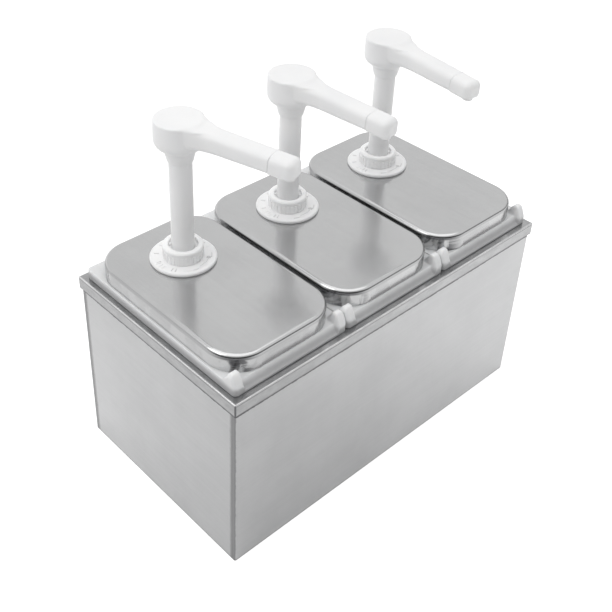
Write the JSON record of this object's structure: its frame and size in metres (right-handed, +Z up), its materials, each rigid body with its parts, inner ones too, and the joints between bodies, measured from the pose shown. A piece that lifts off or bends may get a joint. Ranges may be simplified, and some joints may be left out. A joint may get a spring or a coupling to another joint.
{
  "type": "condiment pump dispenser",
  "caption": "Counter-top condiment station: stainless housing with lift-out containers, drawn lids and white lift pumps with swivelling spouts.",
  "frame": {"origin": "centre of the flat underside of the housing", "axes": "+X along the housing's long side, -Y to the front where the spouts point, +Z up"},
  "size_m": [0.395, 0.222, 0.3644],
  "materials": {
    "satin_steel": "satin stainless sheet, fine grain along the panels",
    "polished_steel": "polished deep-drawn stainless",
    "milky_pe": "milky, slightly translucent polyethylene",
    "white_plastic": "white moulded plastic, soft gloss",
    "grey_seal": "soft food-grade seal rubber",
    "spring_steel": "drawn stainless wire and balls"
  },
  "bodies": {
    "housing": {"front_panel": "satin_steel", "rear_panel": "satin_steel", "left_panel": "satin_steel", "right_panel": "satin_steel", "bottom_panel": "satin_steel", "rim_frame": "satin_steel"},
    "tub_1": {"container_1": "milky_pe"},
    "lid_pump_1": {"lid_1": "polished_steel", "lid_gasket_1": "grey_seal", "pump_barrel_1": "white_plastic", "lid_nut_1": "white_plastic", "collar_nut_1": "white_plastic", "guide_bush_1": "white_plastic", "foot_valve_1": "white_plastic", "dip_tube_1": "white_plastic", "return_spring_1": "spring_steel"},
    "plunger_1": {"piston_1": "white_plastic", "piston_ring_1": "grey_seal"},
    "spout_1": {"piston_rod_1": "white_plastic", "spout_head_1": "white_plastic", "spout_tip_1": "white_plastic"},
    "inlet_valve_1": {"inlet_ball_1": "spring_steel"},
    "outlet_valve_1": {"outlet_ball_1": "spring_steel"},
    "tub_2": {"container_2": "milky_pe"},
    "lid_pump_2": {"lid_2": "polished_steel", "lid_gasket_2": "grey_seal", "pump_barrel_2": "white_plastic", "lid_nut_2": "white_plastic", "collar_nut_2": "white_plastic", "guide_bush_2": "white_plastic", "foot_valve_2": "white_plastic", "dip_tube_2": "white_plastic", "return_spring_2": "spring_steel"},
    "plunger_2": {"piston_2": "white_plastic", "piston_ring_2": "grey_seal"},
    "spout_2": {"piston_rod_2": "white_plastic", "spout_head_2": "white_plastic", "spout_tip_2": "white_plastic"},
    "inlet_valve_2": {"inlet_ball_2": "spring_steel"},
    "outlet_valve_2": {"outlet_ball_2": "spring_steel"},
    "tub_3": {"container_3": "milky_pe"},
    "lid_pump_3": {"lid_3": "polished_steel", "lid_gasket_3": "grey_seal", "pump_barrel_3": "white_plastic", "lid_nut_3": "white_plastic", "collar_nut_3": "white_plastic", "guide_bush_3": "white_plastic", "foot_valve_3": "white_plastic", "dip_tube_3": "white_plastic", "return_spring_3": "spring_steel"},
    "plunger_3": {"piston_3": "white_plastic", "piston_ring_3": "grey_seal"},
    "spout_3": {"piston_rod_3": "white_plastic", "spout_head_3": "white_plastic", "spout_tip_3": "white_plastic"},
    "inlet_valve_3": {"inlet_ball_3": "spring_steel"},
    "outlet_valve_3": {"outlet_ball_3": "spring_steel"}
  },
  "joints": [
    {"name": "container_lift_1", "type": "slide", "parent": "housing", "child": "tub_1", "axis": [0, 0, 1], "range_m": [0, 0.185]},
    {"name": "lid_lift_1", "type": "slide", "parent": "tub_1", "child": "lid_pump_1", "axis": [0, 0, 1], "range_m": [0, 0.195]},
    {"name": "plunger_stroke_1", "type": "slide", "parent": "lid_pump_1", "child": "plunger_1", "axis": [0, 0, -1], "range_m": [0, 0.06], "stiffness_N_per_m": 250, "springref_m": -0.03, "deforming": ["return_spring_1"]},
    {"name": "spout_swivel_1", "type": "hinge", "parent": "plunger_1", "child": "spout_1", "pos_m": [-0.1284, 0.0412, 0.343], "axis": [0, 0, 1], "range_deg": [-41, 9]},
    {"name": "inlet_ball_lift_1", "type": "slide", "parent": "lid_pump_1", "child": "inlet_valve_1", "axis": [0, 0, 1], "range_m": [0, 0.003]},
    {"name": "outlet_ball_lift_1", "type": "slide", "parent": "plunger_1", "child": "outlet_valve_1", "axis": [0, 0, 1], "range_m": [0, 0.003]},
    {"name": "container_lift_2", "type": "slide", "parent": "housing", "child": "tub_2", "axis": [0, 0, 1], "range_m": [0, 0.185]},
    {"name": "lid_lift_2", "type": "slide", "parent": "tub_2", "child": "lid_pump_2", "axis": [0, 0, 1], "range_m": [0, 0.195]},
    {"name": "plunger_stroke_2", "type": "slide", "parent": "lid_pump_2", "child": "plunger_2", "axis": [0, 0, -1], "range_m": [0, 0.06], "stiffness_N_per_m": 250, "springref_m": -0.03, "deforming": ["return_spring_2"]},
    {"name": "spout_swivel_2", "type": "hinge", "parent": "plunger_2", "child": "spout_2", "pos_m": [0, 0.0412, 0.343], "axis": [0, 0, 1], "range_deg": [-30, 20]},
    {"name": "inlet_ball_lift_2", "type": "slide", "parent": "lid_pump_2", "child": "inlet_valve_2", "axis": [0, 0, 1], "range_m": [0, 0.003]},
    {"name": "outlet_ball_lift_2", "type": "slide", "parent": "plunger_2", "child": "outlet_valve_2", "axis": [0, 0, 1], "range_m": [0, 0.003]},
    {"name": "container_lift_3", "type": "slide", "parent": "housing", "child": "tub_3", "axis": [0, 0, 1], "range_m": [0, 0.185]},
    {"name": "lid_lift_3", "type": "slide", "parent": "tub_3", "child": "lid_pump_3", "axis": [0, 0, 1], "range_m": [0, 0.195]},
    {"name": "plunger_stroke_3", "type": "slide", "parent": "lid_pump_3", "child": "plunger_3", "axis": [0, 0, -1], "range_m": [0, 0.06], "stiffness_N_per_m": 250, "springref_m": -0.03, "deforming": ["return_spring_3"]},
    {"name": "spout_swivel_3", "type": "hinge", "parent": "plunger_3", "child": "spout_3", "pos_m": [0.1284, 0.0412, 0.343], "axis": [0, 0, 1], "range_deg": [-20.5, 29.5]},
    {"name": "inlet_ball_lift_3", "type": "slide", "parent": "lid_pump_3", "child": "inlet_valve_3", "axis": [0, 0, 1], "range_m": [0, 0.003]},
    {"name": "outlet_ball_lift_3", "type": "slide", "parent": "plunger_3", "child": "outlet_valve_3", "axis": [0, 0, 1], "range_m": [0, 0.003]}
  ]
}
